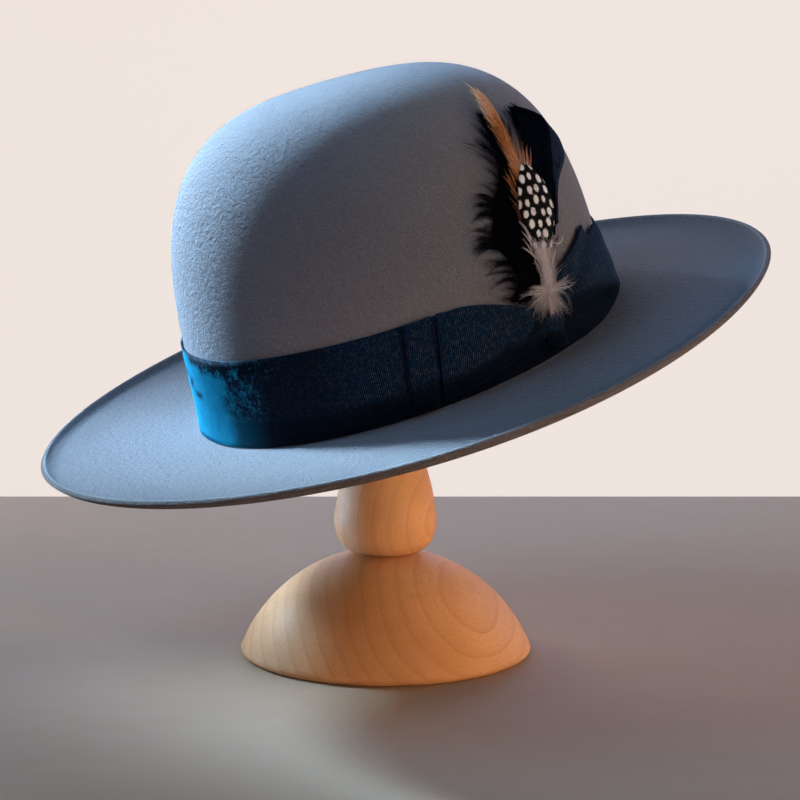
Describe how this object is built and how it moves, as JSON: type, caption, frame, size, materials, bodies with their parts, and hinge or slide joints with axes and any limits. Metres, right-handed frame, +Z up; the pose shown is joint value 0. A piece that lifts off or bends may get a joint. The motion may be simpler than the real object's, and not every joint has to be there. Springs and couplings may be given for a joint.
{
  "type": "felt hat on a wooden hat stand",
  "caption": "Felt hat with a rounded crown, curled brim, grosgrain band, bow and spray of feathers, resting tilted on a turned wooden hat stand.",
  "frame": {"origin": "centre of the stand's flat foot, on the surface that it stands on", "axes": "+Z up; the hat's front points to -X and -Y, and its bow and feathers face +X and -Y"},
  "size_m": [0.324, 0.3354, 0.2668],
  "materials": {
    "felt": "soft grey felt with a short nap",
    "ribbon": "dark petrol blue grosgrain with fine ribs across it",
    "black_feather": "black feather, fluffy in the plume and glossy on the blades",
    "gold_feather": "golden orange hackle",
    "spotted_feather": "black guinea feather with round off-white spots",
    "down": "pinkish grey down",
    "wood": "turned hardwood, satin varnish"
  },
  "bodies": {
    "root": {"felt_body": "felt", "ribbon_band": "ribbon", "bow_keeper": "ribbon", "bow_loop": "ribbon", "bow_knot": "ribbon", "bow_tail": "ribbon", "marabou_plume": "black_feather", "coque_feather_back": "black_feather", "coque_feather_front": "black_feather", "golden_hackle": "gold_feather", "guinea_feather": "spotted_feather", "fluff_tuft": "down", "stand_base": "wood", "stand_stem": "wood"}
  },
  "joints": []
}
